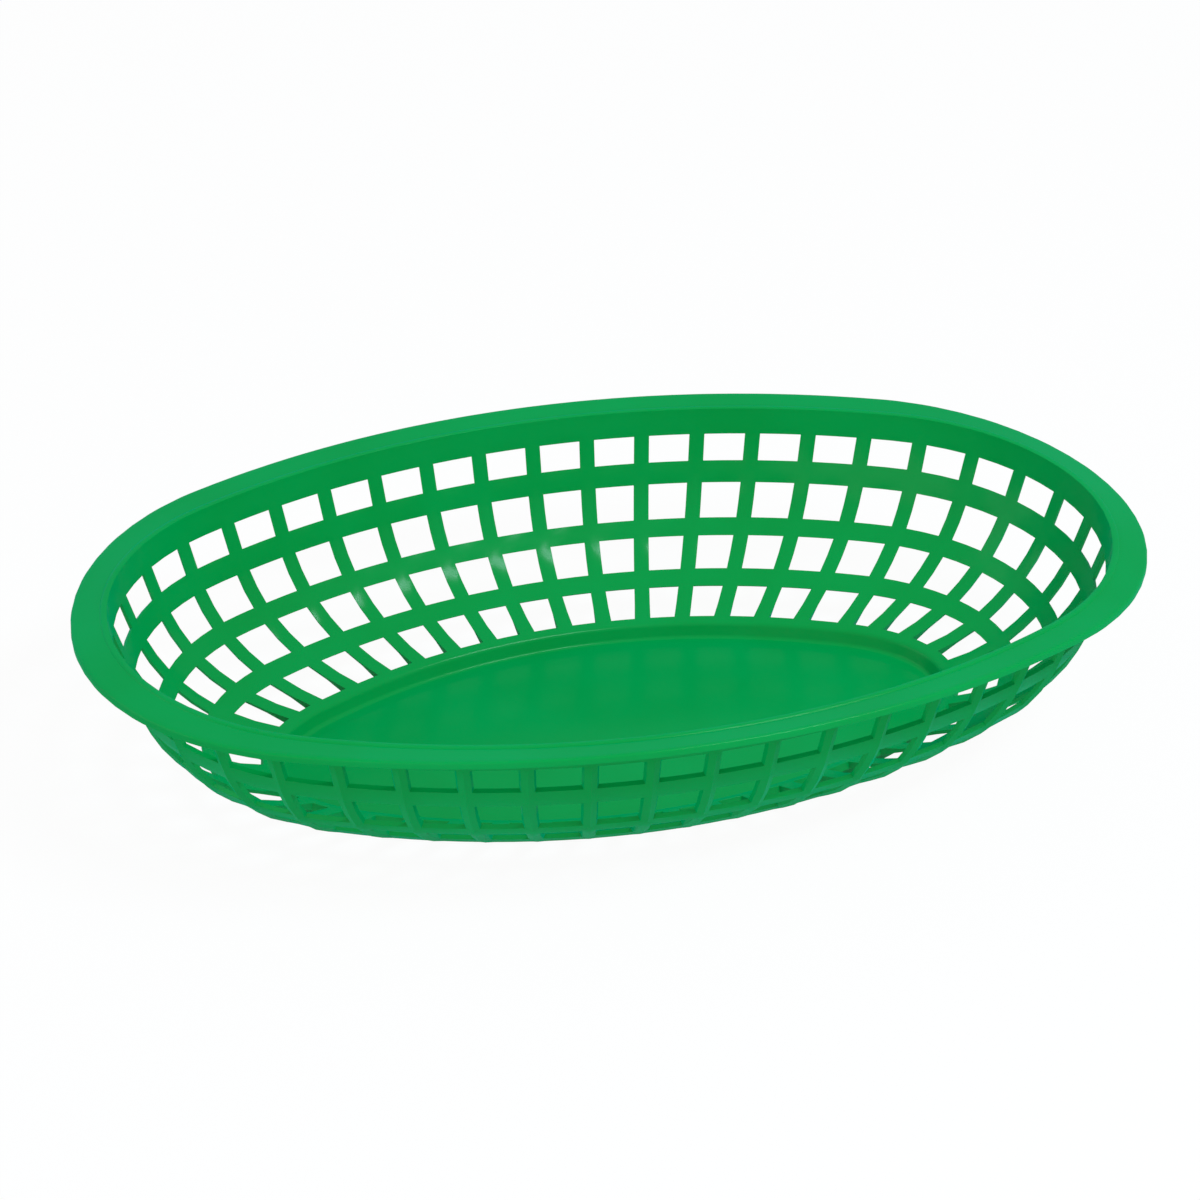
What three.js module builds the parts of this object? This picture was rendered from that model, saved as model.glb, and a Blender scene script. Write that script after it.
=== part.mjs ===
// Plastic food basket: an oval bowl with a lattice wall of upright ribs and level hoops, a flat
// closed floor and a rim that turns outwards. Millimetres, +Z up, the long axis along X. The basket
// stands on z = 0 and its centre is over the origin.
// The real basket is one moulding. Each member of that moulding is a closed solid of its own here.

import * as THREE from "three";

// Overall size
const basketLength = 259.6;
const basketWidth = 163.4;
const basketHeight = 48.4;

// Rim: a thin flange with a low rounded crest along its inner edge. Its outer edge is thicker, and
// falls towards the two ends.
const rimReachEnd = 9.8;
const rimReachSide = 8.7;
const rimThickness = 1.3;
const rimEdgeHeight = 1.7;
const rimEdgeWidth = 1.4;
const rimEdgeRadius = 0.5;
const rimEndFall = 2.6;
const rimCrestFall = 0.3;
const rimCrestHeight = 0.4;
const rimCrestWidth = 1.6;

// Plan of the wall's top edge, and how much more the ends close in below it than the sides do
const endRadius = 58;
const endLeanRatio = 1.305;
const endRadiusLossRatio = 0.93;

// Towards the wall's foot the ends reach a little further than that, most along the middle
const endFootReach = 5.6;
const endFootStart = 6;
const endFootPoint = 4;

// Band: the closed strip of wall between the rim and the first row of openings
const bandHeight = 5.1;
const bandLean = 1.1;
const bandThickness = 1.2;

// Wall: its inner face follows one curve from the band down to the ledge, inset against height
const wallInset = 29.8;
const wallTopSlope = THREE.MathUtils.degToRad(74.8);
const wallFootSlope = THREE.MathUtils.degToRad(16.2);
const wallTopPull = 11.9;
const wallFootPull = 25.4;

// Lattice: hoops of a set height with four rows of openings between them
const ribCount = 44;
const ribWidth = 3.9;
const ribDepth = 2;
const hoopThickness = 1.1;
const hoopHeights = [5.7, 4.6, 5];
const rowShares = [0.203, 0.259, 0.254, 0.284];

// Base: a narrow ledge inside the wall's foot, a step down from it and the floor
const ledgeWidth = 2.3;
const ledgeFall = 0.7;
const ledgeThickness = 1.4;
const stepThickness = 1.4;
const stepDraft = 1;
const floorThickness = 1.5;
const floorDrop = 3.7;

// Clearance between a rib and the hoops, the band and the ledge that it is moulded to
const seam = 0.3;

const stationsPerRib = 2;
const curvePoints = 3;

const plastic = new THREE.MeshStandardMaterial({ color: 0x009e54, roughness: 0.32, metalness: 0 });
const basket = new THREE.Group();
basket.name = "food_basket";

// The oval that lies a given inset inside the wall's top edge: two end arcs and two flatter side
// arcs. A negative inset is outside it, where the rim is.
function ovalAt(inset) {
  const outside = inset < 0;
  const rimLean = rimReachEnd / rimReachSide;
  const lean = outside ? rimLean : endLeanRatio;
  const radiusLoss = outside ? rimLean : endRadiusLossRatio;
  const halfLength = basketLength / 2 - rimReachEnd - inset * lean;
  const halfWidth = basketWidth / 2 - rimReachSide - inset;
  const end = endRadius - inset * radiusLoss;
  const endCentre = halfLength - end;
  const side = (endCentre ** 2 + halfWidth ** 2 - end ** 2) / (2 * (halfWidth - end));
  const sideCentre = halfWidth - side;
  return { end, endCentre, side, sideCentre, joint: Math.atan2(-sideCentre, endCentre) };
}

// The point of an oval where the outward direction makes the given angle with +X.
function ovalPoint(oval, angle) {
  const [across, along] = [Math.cos(angle), Math.sin(angle)];
  if (Math.abs(along) > Math.sin(oval.joint)) {
    return [oval.side * across, Math.sign(along) * oval.sideCentre + oval.side * along];
  }
  return [Math.sign(across) * oval.endCentre + oval.end * across, oval.end * along];
}

// The outward angle at a share of the way round the wall's top edge, in equal steps of its length,
// anticlockwise from +X.
function angleAt(share) {
  const oval = ovalAt(0);
  const endArc = oval.end * oval.joint;
  const quarterLength = endArc + oval.side * (Math.PI / 2 - oval.joint);
  const quarter = Math.floor(share * 4);
  const mirrored = quarter % 2 === 1;
  const way = quarterLength * (mirrored ? quarter + 1 - share * 4 : share * 4 - quarter);
  const angle = way < endArc ? way / oval.end : oval.joint + (way - endArc) / oval.side;
  return (Math.PI / 2) * (mirrored ? quarter + 1 : quarter) + (mirrored ? -angle : angle);
}

const stationCount = ribCount * stationsPerRib;
const stations = Array.from({ length: stationCount }, (_, index) => angleAt(index / stationCount));

// A point of a section: the oval that it starts from, its height, its distance outside the oval and
// how much lower it lies at the two ends.
function at(inset, height, out = 0, endFall = 0) {
  return { inset, height, out, endFall };
}

// Where a section's point is, in the part's frame, at one angle of the plan. Towards the wall's foot
// it lies further out along the ends.
function place(point, angle) {
  const [x, y] = ovalPoint(ovalAt(point.inset), angle);
  const footShare = THREE.MathUtils.smoothstep(point.inset, endFootStart, wallInset);
  const out = point.out + endFootReach * footShare * Math.cos(angle) ** endFootPoint;
  const height = point.height - point.endFall * Math.cos(angle) ** 2;
  return [x + out * Math.cos(angle), y + out * Math.sin(angle), height];
}

function flatten(section) {
  return section.map((point) => new THREE.Vector2(point.inset - point.out, point.height));
}

// The section in the order that keeps its solid's faces outwards, whichever way it was drawn.
function ordered(section) {
  return THREE.ShapeUtils.area(flatten(section)) > 0 ? section : section.toReversed();
}

// Faces between two copies of a section of so many points, the second one further anticlockwise.
function join(triangles, first, second, count) {
  for (let index = 0; index < count; index += 1) {
    const after = (index + 1) % count;
    triangles.push(first + index, first + after, second + after);
    triangles.push(first + index, second + after, second + index);
  }
}

function addSolid(name, corners, triangles) {
  const geometry = new THREE.BufferGeometry();
  geometry.setAttribute("position", new THREE.Float32BufferAttribute(corners, 3));
  geometry.setIndex(triangles);
  geometry.computeVertexNormals();
  const mesh = new THREE.Mesh(geometry, plastic);
  mesh.name = name;
  basket.add(mesh);
}

// Sweeps a section all the way round the basket.
function addRing(name, section) {
  const points = ordered(section);
  const corners = stations.flatMap((angle) => points.flatMap((point) => place(point, angle)));
  const triangles = [];
  for (let station = 0; station < stationCount; station += 1) {
    const next = (station + 1) % stationCount;
    join(triangles, station * points.length, next * points.length, points.length);
  }
  addSolid(name, corners, triangles);
}

// Gives a section a width, square to the oval, at one angle of the plan.
function addBar(name, section, angle, width) {
  const points = ordered(section);
  const corners = [];
  for (const turn of [-0.5, 0.5]) {
    for (const point of points) {
      const [x, y, z] = place(point, angle);
      corners.push(x - turn * width * Math.sin(angle), y + turn * width * Math.cos(angle), z);
    }
  }
  const triangles = [];
  for (const [a, b, c] of THREE.ShapeUtils.triangulateShape(flatten(points), [])) {
    triangles.push(c, b, a, points.length + a, points.length + b, points.length + c);
  }
  join(triangles, 0, points.length, points.length);
  addSolid(name, corners, triangles);
}

const crestTop = basketHeight - rimCrestFall;
const dipHeight = crestTop - rimCrestHeight;
const bandTop = dipHeight - rimThickness;
const wallTop = new THREE.Vector2(0, bandTop - bandHeight);
const wallFoot = new THREE.Vector2(wallInset, floorThickness + floorDrop + ledgeFall);
const downhill = (slope, pull) => new THREE.Vector2(Math.cos(slope), -Math.sin(slope)).multiplyScalar(pull);
const wall = new THREE.CubicBezierCurve(
  wallTop,
  wallTop.clone().add(downhill(wallTopSlope, wallTopPull)),
  wallFoot.clone().sub(downhill(wallFootSlope, wallFootPull)),
  wallFoot,
);
const wallLength = wall.getLength();

// A point so far down the wall from the band and so deep behind its inner face.
function wallPoint(distance, depth) {
  const inner = wall.getPointAt(distance / wallLength);
  const direction = wall.getTangentAt(distance / wallLength);
  return at(inner.x, inner.y - depth * direction.x, -depth * direction.y);
}

// Where each hoop starts and ends down the wall, the upper one first. The rows of openings share
// the rest of the wall.
function findHoops() {
  const openLength = wallLength - hoopHeights.reduce((sum, height) => sum + height, 0);
  let reached = 0;
  return hoopHeights.map((height, index) => {
    const top = reached + openLength * rowShares[index];
    reached = top + height;
    return { top, bottom: reached };
  });
}

const hoops = findHoops();

// The rim rises over a rounded crest, dips outside it and runs out to its thicker edge.
function addRim() {
  const outer = -rimReachSide;
  const dip = -bandLean - rimCrestWidth;
  const edgeBottom = basketHeight - rimEdgeHeight;
  const outline = new THREE.Path();
  outline.moveTo(-bandLean, bandTop);
  outline.lineTo(-bandLean, dipHeight);
  outline.quadraticCurveTo(-bandLean, crestTop, (dip - bandLean) / 2, crestTop);
  outline.lineTo(dip, dipHeight);
  outline.lineTo(outer + rimEdgeRadius, basketHeight);
  outline.quadraticCurveTo(outer, basketHeight, outer, basketHeight - rimEdgeRadius);
  outline.lineTo(outer, edgeBottom);
  outline.lineTo(outer + rimEdgeWidth, edgeBottom);
  outline.lineTo(outer + rimEdgeWidth, basketHeight - rimThickness);
  const fallAt = (inset) => (rimEndFall * Math.max(dip - inset, 0)) / (dip - outer);
  const section = outline.getPoints(curvePoints).map(({ x, y }) => at(x, y, 0, fallAt(x)));
  addRing("rim_flange", [...section, at(-bandLean, bandTop, bandThickness)]);
}

function addBand() {
  addRing("wall_band", [
    wallPoint(0, 0),
    wallPoint(0, bandThickness),
    at(-bandLean, bandTop, bandThickness),
    at(-bandLean, bandTop),
  ]);
}

function addHoops() {
  const names = ["hoop_upper", "hoop_middle", "hoop_lower"];
  hoops.forEach(({ top, bottom }, index) => {
    addRing(names[index], [
      wallPoint(top, 0),
      wallPoint(bottom, 0),
      wallPoint(bottom, hoopThickness),
      wallPoint(top, hoopThickness),
    ]);
  });
}

// A rib runs behind the wall's inner face from the band to the ledge. It is notched where the hoops
// pass, and thins to the ledge's thickness along the last row of openings.
function addRibs() {
  const notch = hoopThickness + seam;
  const inner = [wallPoint(seam, 0)];
  const outer = [wallPoint(seam, ribDepth)];
  for (const { top, bottom } of hoops) {
    inner.push(wallPoint(top - seam, 0), wallPoint(top - seam, notch));
    inner.push(wallPoint(bottom + seam, notch), wallPoint(bottom + seam, 0));
    outer.push(wallPoint((top + bottom) / 2, ribDepth));
  }
  inner.push(wallPoint(wallLength - seam, 0));
  outer.push(wallPoint(hoops.at(-1).bottom, ribDepth), wallPoint(wallLength - seam, ledgeThickness));
  const section = [...inner, ...outer.toReversed()];
  for (let rib = 0; rib < ribCount; rib += 1) {
    addBar(`rib_${String(rib + 1).padStart(2, "0")}`, section, angleAt(rib / ribCount), ribWidth);
  }
}

// The ledge, the step and the floor. The ledge meets the step along a level face under its inner
// edge, and the step meets the floor along an upright one.
function addBase() {
  const edgeInset = wallFoot.x + ledgeWidth;
  const edgeHeight = wallFoot.y - ledgeFall;
  const floorInset = edgeInset + stepDraft;
  const stepTop = edgeHeight - ledgeThickness;
  const stepTopInset = edgeInset + (stepDraft * ledgeThickness) / floorDrop;
  addRing("base_ledge", [
    wallPoint(wallLength, 0),
    at(edgeInset, edgeHeight),
    at(stepTopInset, stepTop),
    at(stepTopInset, stepTop, stepThickness),
    wallPoint(wallLength, ledgeThickness),
  ]);
  addRing("base_step", [
    at(stepTopInset, stepTop),
    at(floorInset, floorThickness),
    at(floorInset, 0),
    at(floorInset, 0, stepThickness),
    at(stepTopInset, stepTop, stepThickness),
  ]);
  const edge = stations.map((angle) => place(at(floorInset, 0), angle));
  const corners = edge.map(([x, y]) => new THREE.Vector2(x, y));
  const plate = { depth: floorThickness, bevelEnabled: false };
  const floor = new THREE.Mesh(new THREE.ExtrudeGeometry(new THREE.Shape(corners), plate), plastic);
  floor.name = "floor_panel";
  basket.add(floor);
}

addRim();
addBand();
addHoops();
addRibs();
addBase();

export default basket;
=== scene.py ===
# The looks of the plastic food basket: one smooth moulding with small fillets, in glossy green plastic,
# on a plain white floor, seen from the photograph's angle.
#
# Lengths are in millimetres until a vertex is placed. The basket's overall size comes from the frame.

import math
from collections import namedtuple

import bmesh
import bpy
from mathutils import Matrix, Vector


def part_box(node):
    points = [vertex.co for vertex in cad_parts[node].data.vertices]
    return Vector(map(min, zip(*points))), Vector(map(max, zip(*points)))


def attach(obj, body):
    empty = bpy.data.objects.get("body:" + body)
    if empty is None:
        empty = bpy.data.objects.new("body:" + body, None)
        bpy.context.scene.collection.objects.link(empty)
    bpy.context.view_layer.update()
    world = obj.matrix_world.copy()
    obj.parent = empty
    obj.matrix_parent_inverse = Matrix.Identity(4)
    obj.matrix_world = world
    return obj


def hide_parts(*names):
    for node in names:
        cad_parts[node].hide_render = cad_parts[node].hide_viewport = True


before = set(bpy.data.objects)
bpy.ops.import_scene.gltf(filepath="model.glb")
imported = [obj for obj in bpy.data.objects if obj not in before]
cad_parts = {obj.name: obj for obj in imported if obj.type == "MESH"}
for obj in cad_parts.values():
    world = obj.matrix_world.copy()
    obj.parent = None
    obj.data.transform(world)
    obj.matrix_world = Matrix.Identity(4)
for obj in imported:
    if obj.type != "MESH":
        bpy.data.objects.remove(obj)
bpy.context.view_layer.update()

MM = 0.001

# Overall size, from the frame
LOW, HIGH = (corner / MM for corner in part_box("rim_flange"))
LENGTH = HIGH.x - LOW.x
WIDTH = HIGH.y - LOW.y
HEIGHT = HIGH.z

# Rim: a thin flange that falls towards its edge at the ends, with a thicker outer edge, and a low round
# crest along its inner side
RIM_REACH_END = 9.8
RIM_REACH_SIDE = 8.7
RIM_THICKNESS = 1.3
RIM_EDGE_HEIGHT = 1.7
RIM_EDGE_WIDTH = 1.4
RIM_EDGE_RADIUS = 0.5
RIM_END_FALL = 2.6
CREST_FALL = 0.3
CREST_HEIGHT = 0.4
CREST_WIDTH = 1.6

# Stations of the rim's section: turns in degrees round its outer edge, and shares of the way across the
# flange. Then the crest's first turn, with where its underside lies beyond the crest's foot, and its other
# turns, each with how far its underside lies below the band's top. Last, a share of the way down the band.
EDGE_TURNS = (0, 30, 60, 90)
FLANGE_SHARES = (0.25, 0.6, 1)
CREST_FIRST_TURN = 35
CREST_FIRST_UNDER = 0.3
CREST_TURNS = ((70, 0), (110, 0.4), (150, 0.8))
BAND_SHARE = 0.3

# Plan of the wall's top edge, and how much more the ends close in below it than the sides do
END_RADIUS = 58
END_LEAN_RATIO = 1.305
END_RADIUS_LOSS_RATIO = 0.93

# Towards the wall's foot the ends reach a little further than that, most along the middle
END_FOOT_REACH = 5.6
END_FOOT_START = 6
END_FOOT_POINT = 4

# Band and wall. The wall's section is a curve that is pulled along a slope at its top and at its foot.
BAND_HEIGHT = 5.1
BAND_LEAN = 1.1
BAND_THICKNESS = 1.2
WALL_INSET = 29.8
WALL_TOP_SLOPE = math.radians(74.8)
WALL_FOOT_SLOPE = math.radians(16.2)
WALL_TOP_PULL = 11.9
WALL_FOOT_PULL = 25.4

# Lattice, with its hoops and open rows from the top down. The rows share the wall's length between the hoops.
RIB_COUNT = 44
RIB_WIDTH = 3.9
HOOP_HEIGHTS = (5.7, 4.6, 5)
ROW_SHARES = (0.203, 0.259, 0.254, 0.284)

# The bars are thin along the openings and crowned outside. The hoops grow thicker from the top one down,
# until the lowest is as thick as the ribs. The openings widen outwards by the draft on each side, and the
# wall sinks a little towards them, at the band within the reach.
BAR_EDGE_THICKNESS = 1.2
HOOP_THICKNESSES = (1.5, 1.7, 1.9)
RIB_THICKNESS = 1.9
OPENING_DRAFT = 0.45
EDGE_SINK = 0.2
SINK_REACH = 2.4

# Base: a narrow ledge, a short step down from it, and the floor, with rounded corners inside
LEDGE_WIDTH = 2.3
LEDGE_FALL = 0.7
LEDGE_THICKNESS = 1.4
LEDGE_UNDER_SHARE = 0.8
STEP_THICKNESS = 1.4
STEP_DRAFT = 1
FLOOR_THICKNESS = 1.5
FLOOR_DROP = 3.7
FLOOR_MARGIN = 2.5
BASE_FILLET = 0.9
CORNER_PARTS = 3

# Fillets along the edges of the openings, the rim and the base
FILLET = 0.3
FILLET_SEGMENTS = 2
SHARP_ANGLE = math.radians(38)

# The skin's grid has two sides, and for each rib four lines round the plan: the rib's first edge, its
# middle and its other edge, then the middle of the opening beside it. The columns between the first three
# lines are the rib.
INSIDE, OUTSIDE = 0, 1
LINES_PER_RIB = 4
RIB_MIDDLE_LINE = 1
RIB_COLUMNS = 2

# Search for a rib's edge on the curve of its level: a small turn in radians, and the number of tries
SMALL_TURN = 0.001
TURN_TRIES = 4

# Camera, as fitted to the photograph: a long lens a metre away. Its distance and aim are in metres.
FOCAL_PIXELS = 4117
FRAME_PIXELS = 1200
CAMERA_DISTANCE = 0.977
AIM_HEIGHT = 0.0413
AZIMUTH = math.radians(-17.55)
ELEVATION = math.radians(30.48)
ROLL = math.radians(0.87)
AIM_PIXEL = (617.8, 588.8)
SENSOR = 36

# Plastic: its colour varies a little between two tones, in soft clouds. A faint clear coat carries the
# highlights, a faint blue-green sheen tints the faces seen at a slant, and ripples stir the reflections.
# The scales are per metre, and the ripples' height is in metres.
DEEP_GREEN = (0.0, 0.28, 0.046, 1)
PALE_GREEN = (0.0, 0.3, 0.056, 1)
TONE_SCALE = 28
TONE_DETAIL = 4
TONE_RANGE = (0.35, 0.65)
PLASTIC_IOR = 1.49
SHEEN_TINT = (0.0, 0.9, 0.85, 1)
SHEEN_WEIGHT = 0.2
SHEEN_ROUGHNESS = 0.5
COAT_WEIGHT = 0.06
COAT_IOR = 1.9
COAT_ROUGHNESS = 0.17
RIPPLE_SCALE = 160
RIPPLE_DETAIL = 2
RIPPLE_STRENGTH = 0.25
RIPPLE_HEIGHT = 0.0001

# Studio: a wide floor just under the basket, in metres, with its tone and glow, and the world's light
FLOOR_SIZE = 12
FLOOR_GAP = 0.0002
FLOOR_COLOUR = 0.85
FLOOR_GLOW = 0.95
WORLD_LIGHT = 0.54

# Lamps: name, direction from the basket, distance, width and height in metres, watts, and colour. The key
# is a small cool one that shows as a streak on the far ribs, and the other two are wide and soft.
LAMPS = (
    ("key", (0.36, -0.46, 0.81), 1.2, (0.46, 0.22), 9.8, (0.68, 0.88, 1.0)),
    ("fill", (-0.65, -0.73, 0.21), 1.3, (1.2, 0.6), 2.5, (1, 1, 1)),
    ("left", (-0.85, 0.2, 0.35), 1.3, (0.9, 0.9), 3, (1, 1, 1)),
)

CREST_TOP = HEIGHT - CREST_FALL
DIP_HEIGHT = CREST_TOP - CREST_HEIGHT
BAND_TOP = DIP_HEIGHT - RIM_THICKNESS
WALL_TOP_HEIGHT = BAND_TOP - BAND_HEIGHT
FOOT_HEIGHT = FLOOR_THICKNESS + FLOOR_DROP + LEDGE_FALL

# One level of the lattice: how far down the wall it lies inside and outside, whether the row below it is
# open, and how thick the ribs are there, and the hoop if it is on one
Level = namedtuple("Level", "distances is_open rib hoop", defaults=(None,))


def oval_at(inset):
    """The four-arc oval an inset inside the wall's top edge.

    It is given as end radius and end centre, side radius and side centre, and the angle where they meet.
    """
    outside = inset < 0
    rim_lean = RIM_REACH_END / RIM_REACH_SIDE
    lean = rim_lean if outside else END_LEAN_RATIO
    radius_loss = rim_lean if outside else END_RADIUS_LOSS_RATIO
    half_length = LENGTH / 2 - RIM_REACH_END - inset * lean
    half_width = WIDTH / 2 - RIM_REACH_SIDE - inset
    end = END_RADIUS - inset * radius_loss
    end_centre = half_length - end
    side = (end_centre**2 + half_width**2 - end**2) / (2 * (half_width - end))
    side_centre = half_width - side
    return end, end_centre, side, side_centre, math.atan2(-side_centre, end_centre)


def oval_point(oval, angle):
    """The oval's point whose outward direction has this angle."""
    end, end_centre, side, side_centre, joint = oval
    across, along = math.cos(angle), math.sin(angle)
    if abs(along) > math.sin(joint):
        return side * across, math.copysign(side_centre, -along) + side * along
    return math.copysign(end_centre, across) + end * across, end * along


def angle_at(share):
    """The outward angle at a share of the way round the wall's top edge, anticlockwise from +X."""
    end, _, side, _, joint = oval_at(0)
    end_arc = end * joint
    quarter_length = end_arc + side * (math.pi / 2 - joint)
    quarter = math.floor(share * 4)
    mirrored = quarter % 2 == 1
    way = quarter_length * (quarter + 1 - share * 4 if mirrored else share * 4 - quarter)
    angle = way / end if way < end_arc else joint + (way - end_arc) / side
    return math.pi / 2 * (quarter + 1 if mirrored else quarter) + (-angle if mirrored else angle)


def at(inset, height, out=0.0, end_fall=0.0):
    """A section's point: the inset of its oval, its height, and how far outside that oval it lies.

    The last value is how much lower it lies at the basket's two ends.
    """
    return inset, height, out, end_fall


def plan_point(inset, out, angle):
    """A point of the plan at an outward angle, moved out along it, with the reach of the wall's ends."""
    x, y = oval_point(oval_at(inset), angle)
    share = min(max((inset - END_FOOT_START) / (WALL_INSET - END_FOOT_START), 0), 1)
    out += END_FOOT_REACH * share * share * (3 - 2 * share) * math.cos(angle) ** END_FOOT_POINT
    return Vector((x + out * math.cos(angle), y + out * math.sin(angle)))


def place(point, angle, sideways=0.0):
    """A section's point at an angle of the plan, in metres.

    It is first moved sideways by so many millimetres, along the curve of its level.
    """
    inset, height, out, end_fall = point
    start = plan_point(inset, out, angle)
    along = Vector((-math.sin(angle), math.cos(angle)))
    turned = angle
    for _ in range(TURN_TRIES if sideways else 0):
        reached = (plan_point(inset, out, turned) - start).dot(along)
        further = (plan_point(inset, out, turned + SMALL_TURN) - start).dot(along)
        turned += (sideways - reached) * SMALL_TURN / (further - reached)
    x, y = plan_point(inset, out, turned)
    return Vector((x, y, height - end_fall * math.cos(turned) ** 2)) * MM


class WallCurve:
    """The wall's inner face in section, one cubic curve of inset against height."""

    STEPS = 400

    def __init__(self):
        top = Vector((0, WALL_TOP_HEIGHT))
        foot = Vector((WALL_INSET, FOOT_HEIGHT))
        top_pull = Vector((math.cos(WALL_TOP_SLOPE), -math.sin(WALL_TOP_SLOPE))) * WALL_TOP_PULL
        foot_pull = Vector((math.cos(WALL_FOOT_SLOPE), -math.sin(WALL_FOOT_SLOPE))) * WALL_FOOT_PULL
        self.corners = (top, top + top_pull, foot - foot_pull, foot)
        self.points = [self.curve(step / self.STEPS) for step in range(self.STEPS + 1)]
        self.reached = [0.0]
        for before, after in zip(self.points, self.points[1:]):
            self.reached.append(self.reached[-1] + (after - before).length)
        self.length = self.reached[-1]

    def curve(self, t):
        a, b, c, d = self.corners
        return (1 - t) ** 3 * a + 3 * (1 - t) ** 2 * t * b + 3 * (1 - t) * t**2 * c + t**3 * d

    def point(self, distance, depth):
        """The point so far down the wall and so deep behind its inner face."""
        step = next((i for i, reach in enumerate(self.reached) if reach >= distance), self.STEPS)
        step = max(step, 1)
        before, after = self.points[step - 1], self.points[step]
        share = (distance - self.reached[step - 1]) / (self.reached[step] - self.reached[step - 1])
        inner = before.lerp(after, share)
        direction = (after - before).normalized()
        return at(inner.x, inner.y - depth * direction.x, -depth * direction.y)


WALL = WallCurve()


def rim_stations():
    """The rim and band, from the rim's edge to the wall: pairs of a point on top and one under it."""
    outer = -RIM_REACH_SIDE
    dip = -BAND_LEAN - CREST_WIDTH
    edge_inner = outer + RIM_EDGE_WIDTH
    edge_bottom = HEIGHT - RIM_EDGE_HEIGHT

    def flange(inset, height):
        return at(inset, height, 0, RIM_END_FALL * max(dip - inset, 0) / (dip - outer))

    def crest(turn):
        """A point of the crest's round top, from its outer foot at 0 to its inner side at 180 degrees."""
        angle = math.radians(turn)
        middle = -BAND_LEAN - CREST_WIDTH / 2
        return at(middle - CREST_WIDTH / 2 * math.cos(angle), DIP_HEIGHT + CREST_HEIGHT * math.sin(angle))

    stations = [(flange(outer, edge_bottom), flange(edge_inner, edge_bottom))]
    for turn in EDGE_TURNS:
        angle = math.radians(turn)
        across = RIM_EDGE_RADIUS * (1 - math.cos(angle))
        drop = RIM_EDGE_RADIUS * (1 - math.sin(angle))
        under = flange(edge_inner + across, HEIGHT - RIM_THICKNESS)
        stations.append((flange(outer + across, HEIGHT - drop), under))
    for share in FLANGE_SHARES:
        inset = outer + (dip - outer) * share
        height = HEIGHT + (DIP_HEIGHT - HEIGHT) * share
        stations.append((flange(inset, height), flange(inset, height - RIM_THICKNESS)))
    stations.append((crest(CREST_FIRST_TURN), at(dip + CREST_FIRST_UNDER, BAND_TOP)))
    for turn, drop in CREST_TURNS:
        stations.append((crest(turn), at(-BAND_LEAN, BAND_TOP - drop, BAND_THICKNESS)))
    for share in (BAND_SHARE, 1 - SINK_REACH / BAND_HEIGHT):
        lean = BAND_LEAN * (1 - share)
        height = BAND_TOP - BAND_HEIGHT * share
        stations.append((at(-lean, height), at(-lean, height, BAND_THICKNESS)))
    return stations


def lattice_levels():
    """The levels down the wall: at the top and the middle of each open row and of each hoop.

    In the middle of the last row the ribs are as thin as the ledge that they run into.
    """
    open_length = WALL.length - sum(HOOP_HEIGHTS)
    levels = []
    reached = 0.0
    for row, share in enumerate(ROW_SHARES):
        height = open_length * share
        middle = reached + height / 2
        is_last = row == len(HOOP_HEIGHTS)
        levels.append(Level((reached, reached - OPENING_DRAFT), True, RIB_THICKNESS))
        levels.append(Level((middle, middle), True, LEDGE_THICKNESS if is_last else RIB_THICKNESS))
        reached += height
        if not is_last:
            middle = reached + HOOP_HEIGHTS[row] / 2
            hoop = HOOP_THICKNESSES[row]
            levels.append(Level((reached, reached + OPENING_DRAFT), False, RIB_THICKNESS, hoop))
            levels.append(Level((middle, middle), False, RIB_THICKNESS, hoop))
            reached += HOOP_HEIGHTS[row]
    return levels


def between(point, other, share):
    """The section's point that lies so far along from one point to another."""
    return tuple(value + (aim - value) * share for value, aim in zip(point, other))


def rounded(before, corner, after):
    """The points of a corner of the section, softened by the base's fillet."""
    start = corner + (before - corner).normalized() * BASE_FILLET
    end = corner + (after - corner).normalized() * BASE_FILLET
    shares = [part / CORNER_PARTS for part in range(CORNER_PARTS + 1)]
    return [start.lerp(corner, share).lerp(corner.lerp(end, share), share) for share in shares]


def base_stations():
    """The wall's foot, the ledge, the step and the edge of the floor: pairs as for the rim."""
    foot = Vector((WALL_INSET, FOOT_HEIGHT))
    edge = foot + Vector((LEDGE_WIDTH, -LEDGE_FALL))
    floor_edge = Vector((edge.x + STEP_DRAFT, FLOOR_THICKNESS))
    floor_start = floor_edge + Vector((FLOOR_MARGIN, 0))
    inside = rounded(foot, edge, floor_edge) + rounded(edge, floor_edge, floor_start) + [floor_start]

    foot_under = WALL.point(WALL.length, RIB_THICKNESS)
    edge_under = at(edge.x, edge.y - LEDGE_THICKNESS, STEP_THICKNESS)
    floor_under = at(floor_edge.x, 0, STEP_THICKNESS)
    ledge = [between(foot_under, edge_under, LEDGE_UNDER_SHARE)]
    floor = [at(floor_start.x - FLOOR_MARGIN / 2, 0), at(floor_start.x, 0)]
    step_count = len(inside) - len(ledge) - len(floor)
    step = [between(edge_under, floor_under, point / (step_count - 1)) for point in range(step_count)]
    outside = ledge + step + floor
    stations = [(WALL.point(WALL.length, 0), foot_under)]
    return stations + [(at(*point), under) for point, under in zip(inside, outside)]


def plan_lines():
    """The grid's lines round the plan: an angle, a move sideways, and the opening's draft there."""
    half = RIB_WIDTH / 2
    lines = []
    for rib in range(RIB_COUNT):
        here = angle_at(rib / RIB_COUNT)
        lines.append((here, -half, OPENING_DRAFT))
        lines.append((here, 0.0, 0.0))
        lines.append((here, half, -OPENING_DRAFT))
        lines.append((angle_at((rib + 0.5) / RIB_COUNT), 0.0, 0.0))
    return lines


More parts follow.
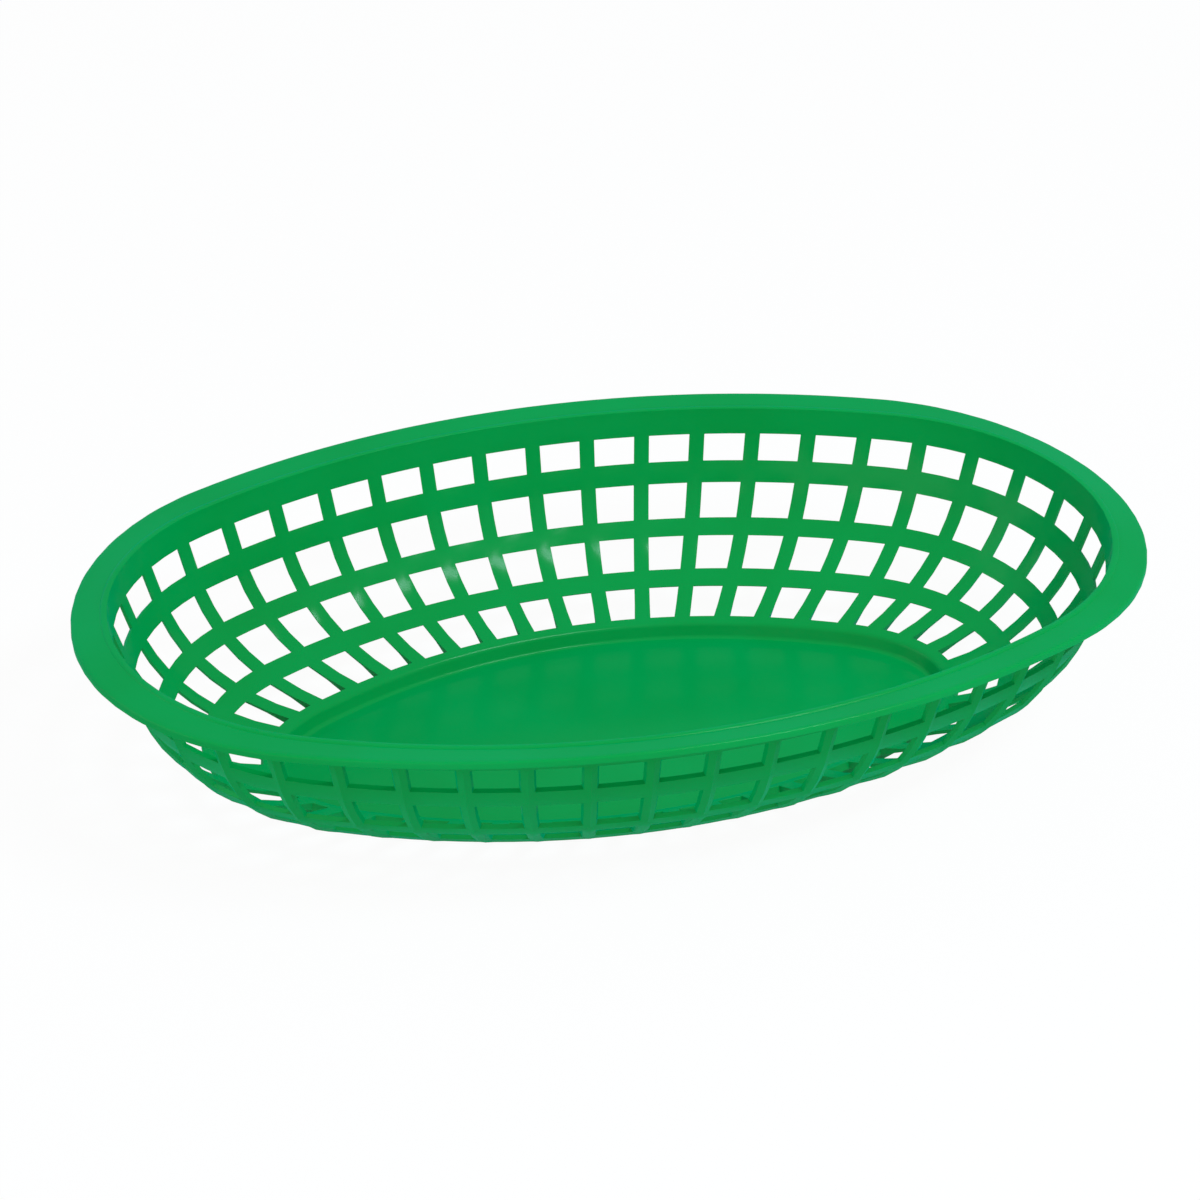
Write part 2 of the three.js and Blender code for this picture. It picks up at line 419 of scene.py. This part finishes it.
def moulding_mesh():
    """The basket's skin on a grid: round the plan, down the section, and through the thickness."""
    rim = rim_stations()
    lattice = lattice_levels()
    base = base_stations()
    lines = plan_lines()
    first = len(rim)
    foot = first + len(lattice)
    row_count = foot + len(base)

    def is_solid(column, row):
        if not 0 <= row < row_count - 1:
            return False
        in_rib = column % LINES_PER_RIB < RIB_COLUMNS
        in_lattice = first <= row < foot
        return in_rib or not (in_lattice and lattice[row - first].is_open)

    def beside_opening(line, row):
        around = [((line + step) % len(lines), row + down) for step in (-1, 0) for down in (-1, 0)]
        return any(not is_solid(*cell) for cell in around)

    mesh = bmesh.new()
    made = {}

    def vertex(line, row, side):
        line %= len(lines)
        key = (line, row, side)
        if key in made:
            return made[key]
        angle, sideways, draft = lines[line]
        if row < first:
            point = rim[row][side]
        elif row >= foot:
            point = base[row - foot][side]
        else:
            level = lattice[row - first]
            distance = level.distances[side]
            edge = beside_opening(line, row)
            if side == OUTSIDE:
                sideways += draft
                crown = level.rib if line % LINES_PER_RIB == RIB_MIDDLE_LINE else level.hoop
                point = WALL.point(max(distance, 0), BAR_EDGE_THICKNESS if edge else crown)
            else:
                point = WALL.point(distance, EDGE_SINK if edge else 0)
        made[key] = mesh.verts.new(place(point, angle, sideways))
        return made[key]

    def face(points, turned=False):
        """A face through grid points. Turned, it goes round them the other way from the same start."""
        start, *others = points
        if turned:
            others.reverse()
        mesh.faces.new([vertex(*point) for point in (start, *others)])

    def wall_through(start, end, turned=False):
        """A face through the thickness, at the side of a cell between two of its corners."""
        face(((*start, INSIDE), (*end, INSIDE), (*end, OUTSIDE), (*start, OUTSIDE)), turned)

    for column in range(len(lines)):
        left, right = column, column + 1
        for row in range(row_count - 1):
            if not is_solid(column, row):
                continue
            above, below = row, row + 1
            corners = ((left, above), (right, above), (right, below), (left, below))
            face([(*corner, INSIDE) for corner in corners])
            face([(*corner, OUTSIDE) for corner in corners], turned=True)
            if not is_solid((column - 1) % len(lines), row):
                wall_through((left, above), (left, below))
            if not is_solid((column + 1) % len(lines), row):
                wall_through((right, above), (right, below), turned=True)
            if not is_solid(column, row - 1):
                wall_through((left, above), (right, above), turned=True)
            if not is_solid(column, row + 1) and below < row_count - 1:
                wall_through((left, below), (right, below))
    last = row_count - 1
    mesh.faces.new([vertex(line, last, INSIDE) for line in range(len(lines))])
    mesh.faces.new([vertex(line, last, OUTSIDE) for line in reversed(range(len(lines)))])
    bmesh.ops.recalc_face_normals(mesh, faces=mesh.faces)
    data = bpy.data.meshes.new("basket_moulding")
    mesh.to_mesh(data)
    mesh.free()
    data.polygons.foreach_set("use_smooth", [True] * len(data.polygons))
    return data


def build_basket():
    """The basket's one piece, with a fillet on each of its sharp edges."""
    basket = bpy.data.objects.new("basket_moulding", moulding_mesh())
    bpy.context.scene.collection.objects.link(basket)
    bevel = basket.modifiers.new("fillets", "BEVEL")
    bevel.limit_method = "ANGLE"
    bevel.angle_limit = SHARP_ANGLE
    bevel.width = FILLET * MM
    bevel.segments = FILLET_SEGMENTS
    bevel.harden_normals = True
    return basket


def plastic_material():
    """Glossy green polypropylene, with the faint unevenness of a moulded surface."""
    material = bpy.data.materials.new("green_plastic")
    material.use_nodes = True
    nodes, links = material.node_tree.nodes, material.node_tree.links
    shader = nodes["Principled BSDF"]
    shader.inputs["IOR"].default_value = PLASTIC_IOR
    shader.inputs["Roughness"].default_value = COAT_ROUGHNESS
    shader.inputs["Specular IOR Level"].default_value = 0
    shader.inputs["Coat Weight"].default_value = COAT_WEIGHT
    shader.inputs["Coat IOR"].default_value = COAT_IOR
    shader.inputs["Coat Roughness"].default_value = COAT_ROUGHNESS
    shader.inputs["Sheen Weight"].default_value = SHEEN_WEIGHT
    shader.inputs["Sheen Roughness"].default_value = SHEEN_ROUGHNESS
    shader.inputs["Sheen Tint"].default_value = SHEEN_TINT
    coordinates = nodes.new("ShaderNodeTexCoord")

    cloud = nodes.new("ShaderNodeTexNoise")
    cloud.inputs["Scale"].default_value = TONE_SCALE
    cloud.inputs["Detail"].default_value = TONE_DETAIL
    links.new(coordinates.outputs["Object"], cloud.inputs["Vector"])
    tone = nodes.new("ShaderNodeValToRGB")
    for stop, position, colour in zip(tone.color_ramp.elements, TONE_RANGE, (DEEP_GREEN, PALE_GREEN)):
        stop.position = position
        stop.color = colour
    links.new(cloud.outputs["Fac"], tone.inputs["Fac"])
    links.new(tone.outputs["Color"], shader.inputs["Base Color"])

    ripple = nodes.new("ShaderNodeTexNoise")
    ripple.inputs["Scale"].default_value = RIPPLE_SCALE
    ripple.inputs["Detail"].default_value = RIPPLE_DETAIL
    links.new(coordinates.outputs["Object"], ripple.inputs["Vector"])
    bump = nodes.new("ShaderNodeBump")
    bump.inputs["Strength"].default_value = RIPPLE_STRENGTH
    bump.inputs["Distance"].default_value = RIPPLE_HEIGHT
    links.new(ripple.outputs["Fac"], bump.inputs["Height"])
    links.new(bump.outputs["Normal"], shader.inputs["Normal"])
    links.new(bump.outputs["Normal"], shader.inputs["Coat Normal"])
    return material


def seen_directly(nodes, links):
    """1 for rays from the camera, and for those that a glossy or clear surface sends on."""
    path = nodes.new("ShaderNodeLightPath")
    either = nodes.new("ShaderNodeMath")
    either.operation = "MAXIMUM"
    links.new(path.outputs["Is Camera Ray"], either.inputs[0])
    links.new(path.outputs["Is Glossy Ray"], either.inputs[1])
    all_three = nodes.new("ShaderNodeMath")
    all_three.operation = "MAXIMUM"
    links.new(either.outputs[0], all_three.inputs[0])
    links.new(path.outputs["Is Transmission Ray"], all_three.inputs[1])
    return all_three.outputs[0]


def make_floor():
    """A wide white floor that shows as the white background and still takes a faint shadow."""
    bpy.ops.mesh.primitive_plane_add(size=FLOOR_SIZE, location=(0, 0, -FLOOR_GAP))
    floor = bpy.context.object
    floor.name = "studio_floor"
    material = bpy.data.materials.new("studio_floor")
    material.use_nodes = True
    nodes, links = material.node_tree.nodes, material.node_tree.links
    nodes.remove(nodes["Principled BSDF"])
    matt = nodes.new("ShaderNodeBsdfDiffuse")
    matt.inputs["Color"].default_value = (FLOOR_COLOUR, FLOOR_COLOUR, FLOOR_COLOUR, 1)
    glow = nodes.new("ShaderNodeEmission")
    glow.inputs["Color"].default_value = (1, 1, 1, 1)
    share = nodes.new("ShaderNodeMath")
    share.operation = "MULTIPLY"
    share.inputs[1].default_value = FLOOR_GLOW
    links.new(seen_directly(nodes, links), share.inputs[0])
    mix = nodes.new("ShaderNodeMixShader")
    links.new(share.outputs[0], mix.inputs["Fac"])
    links.new(matt.outputs[0], mix.inputs[1])
    links.new(glow.outputs[0], mix.inputs[2])
    links.new(mix.outputs[0], nodes["Material Output"].inputs["Surface"])
    floor.data.materials.append(material)


def make_world():
    """A white world that lights the basket at a lower level than it shows at."""
    world = bpy.data.worlds.new("studio")
    bpy.context.scene.world = world
    world.use_nodes = True
    nodes, links = world.node_tree.nodes, world.node_tree.links
    background = nodes["Background"]
    background.inputs["Color"].default_value = (1, 1, 1, 1)
    strength = nodes.new("ShaderNodeMapRange")
    strength.inputs["To Min"].default_value = WORLD_LIGHT
    strength.inputs["To Max"].default_value = 1.0
    links.new(seen_directly(nodes, links), strength.inputs["Value"])
    links.new(strength.outputs["Result"], background.inputs["Strength"])


def add_softbox(name, direction, distance, size, power, colour):
    """A lamp of a given width and height, in the given direction from the basket and aimed at it."""
    lamp = bpy.data.lights.new(name, "AREA")
    lamp.shape = "RECTANGLE"
    lamp.size, lamp.size_y = size
    lamp.energy = power
    lamp.color = colour
    box = bpy.data.objects.new(name, lamp)
    box.location = Vector(direction).normalized() * distance
    box.rotation_mode = "QUATERNION"
    box.rotation_quaternion = box.location.to_track_quat("Z", "Y")
    bpy.context.scene.collection.objects.link(box)


def make_camera():
    """The camera, turned and rolled as the photograph's, with the aim's pixel set by a small shift."""
    data = bpy.data.cameras.new("camera")
    data.sensor_width = SENSOR
    data.lens = SENSOR * FOCAL_PIXELS / FRAME_PIXELS
    data.shift_x = (FRAME_PIXELS / 2 - AIM_PIXEL[0]) / FRAME_PIXELS
    data.shift_y = (AIM_PIXEL[1] - FRAME_PIXELS / 2) / FRAME_PIXELS
    camera = bpy.data.objects.new("camera", data)
    back = Vector((
        math.sin(AZIMUTH) * math.cos(ELEVATION),
        -math.cos(AZIMUTH) * math.cos(ELEVATION),
        math.sin(ELEVATION),
    ))
    level = Vector((math.cos(AZIMUTH), math.sin(AZIMUTH), 0))
    upright = back.cross(level)
    right = level * math.cos(ROLL) + upright * math.sin(ROLL)
    up = upright * math.cos(ROLL) - level * math.sin(ROLL)
    turn = Matrix((right, up, back)).transposed().to_4x4()
    camera.matrix_world = Matrix.Translation(Vector((0, 0, AIM_HEIGHT)) + back * CAMERA_DISTANCE) @ turn
    bpy.context.scene.collection.objects.link(camera)
    bpy.context.scene.camera = camera


make_camera()
basket = build_basket()
basket.data.materials.append(plastic_material())
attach(basket, "root")
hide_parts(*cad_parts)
make_floor()
make_world()
for lamp_values in LAMPS:
    add_softbox(*lamp_values)

bpy.context.scene.view_settings.view_transform = "Standard"
